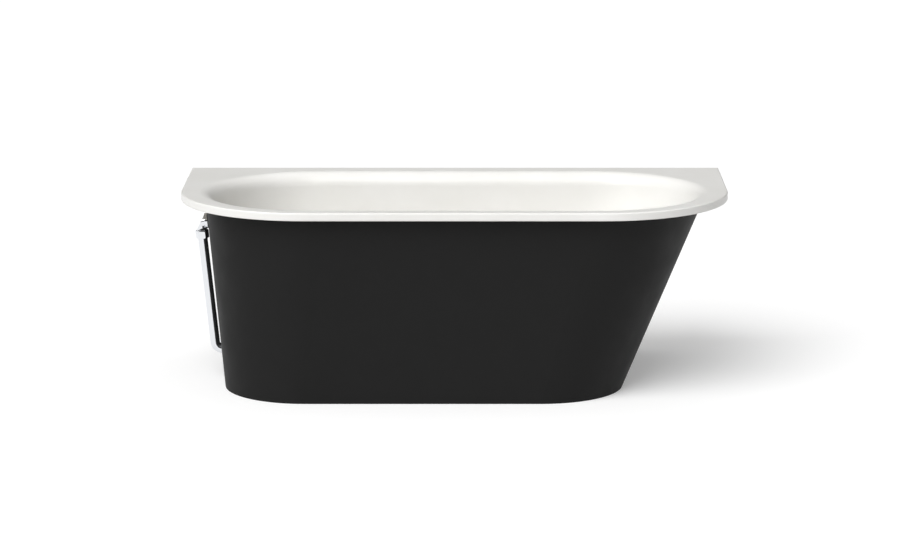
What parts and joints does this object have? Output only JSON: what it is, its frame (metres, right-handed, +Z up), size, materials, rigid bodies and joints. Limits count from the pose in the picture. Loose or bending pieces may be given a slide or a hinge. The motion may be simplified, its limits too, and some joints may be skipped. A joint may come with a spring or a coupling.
{
  "type": "back-to-wall bathtub",
  "caption": "D-plan stone resin bathtub for a wall, with a rolled white rim, a sloped backrest, a black outer skirt, an exposed overflow pipe and a press-to-close waste.",
  "frame": {"origin": "on the floor, under the middle of the rim's outline", "axes": "+X along the bath towards the sloped backrest, +Y towards the wall, +Z up"},
  "size_m": [1.7, 0.8, 0.6],
  "materials": {
    "white_gelcoat": "satin",
    "black_matt": "matt paint",
    "chrome": "polished",
    "black_rubber": "moulded",
    "brass": "turned",
    "spring_steel": "drawn wire",
    "white_plastic": "moulded",
    "zinc_steel": "zinc plated"
  },
  "bodies": {
    "bath": {"basin_rim": "white_gelcoat", "skirt": "black_matt", "overflow_elbow": "chrome", "overflow_nut_top": "chrome", "overflow_tube": "chrome", "overflow_cover": "chrome", "overflow_screw": "chrome", "waste_flange": "chrome", "overflow_gasket_in": "black_rubber", "overflow_gasket_out": "black_rubber", "overflow_seal_top": "black_rubber", "overflow_seal_low": "black_rubber", "skirt_grommet": "black_rubber", "waste_gasket_top": "black_rubber", "waste_gasket_bottom": "black_rubber", "trap_seal": "black_rubber", "trap_cap_seal": "black_rubber", "outlet_seal": "black_rubber", "plug_cartridge": "brass", "plug_spring": "spring_steel", "waste_body": "white_plastic", "overflow_nut_low": "white_plastic", "trap_body": "white_plastic", "trap_nut": "white_plastic", "trap_cap": "white_plastic", "outlet_nut": "white_plastic", "outlet_pipe": "white_plastic", "outlet_reducer": "white_plastic", "foot_plates": "zinc_steel", "foot_locknuts": "zinc_steel"},
    "plug": {"plug_cap": "chrome", "plug_seal": "black_rubber", "plug_stem": "brass"},
    "foot_1_pad": {"foot_1_pad": "black_rubber"},
    "foot_1_stud": {"foot_1_stud": "zinc_steel"},
    "foot_2_pad": {"foot_2_pad": "black_rubber"},
    "foot_2_stud": {"foot_2_stud": "zinc_steel"},
    "foot_3_pad": {"foot_3_pad": "black_rubber"},
    "foot_3_stud": {"foot_3_stud": "zinc_steel"},
    "foot_4_pad": {"foot_4_pad": "black_rubber"},
    "foot_4_stud": {"foot_4_stud": "zinc_steel"}
  },
  "joints": [
    {"name": "plug_press", "type": "slide", "parent": "bath", "child": "plug", "axis": [0, 0, 1], "range_m": [-0.0087, 0], "stiffness_N_per_m": 600, "springref_m": 0.008, "deforming": ["plug_spring"]},
    {"name": "foot_1_height", "type": "slide", "parent": "bath", "child": "foot_1_pad", "axis": [0, 0, 1], "range_m": [-0.0085, 0.0085]},
    {"name": "foot_1_turn", "type": "hinge", "parent": "foot_1_pad", "child": "foot_1_stud", "pos_m": [-0.39, -0.141, 0.01], "axis": [0, 0, 1], "range_deg": [-1750, 1750]},
    {"name": "foot_2_height", "type": "slide", "parent": "bath", "child": "foot_2_pad", "axis": [0, 0, 1], "range_m": [-0.0085, 0.0085]},
    {"name": "foot_2_turn", "type": "hinge", "parent": "foot_2_pad", "child": "foot_2_stud", "pos_m": [-0.39, 0.109, 0.01], "axis": [0, 0, 1], "range_deg": [-1750, 1750]},
    {"name": "foot_3_height", "type": "slide", "parent": "bath", "child": "foot_3_pad", "axis": [0, 0, 1], "range_m": [-0.0085, 0.0085]},
    {"name": "foot_3_turn", "type": "hinge", "parent": "foot_3_pad", "child": "foot_3_stud", "pos_m": [0.33, -0.141, 0.01], "axis": [0, 0, 1], "range_deg": [-1750, 1750]},
    {"name": "foot_4_height", "type": "slide", "parent": "bath", "child": "foot_4_pad", "axis": [0, 0, 1], "range_m": [-0.0085, 0.0085]},
    {"name": "foot_4_turn", "type": "hinge", "parent": "foot_4_pad", "child": "foot_4_stud", "pos_m": [0.33, 0.109, 0.01], "axis": [0, 0, 1], "range_deg": [-1750, 1750]}
  ],
  "couplings": [
    {"joint": "foot_1_turn", "follows": "foot_1_height", "rad_per_m": 3590.4},
    {"joint": "foot_2_turn", "follows": "foot_2_height", "rad_per_m": 3590.4},
    {"joint": "foot_3_turn", "follows": "foot_3_height", "rad_per_m": 3590.4},
    {"joint": "foot_4_turn", "follows": "foot_4_height", "rad_per_m": 3590.4}
  ]
}
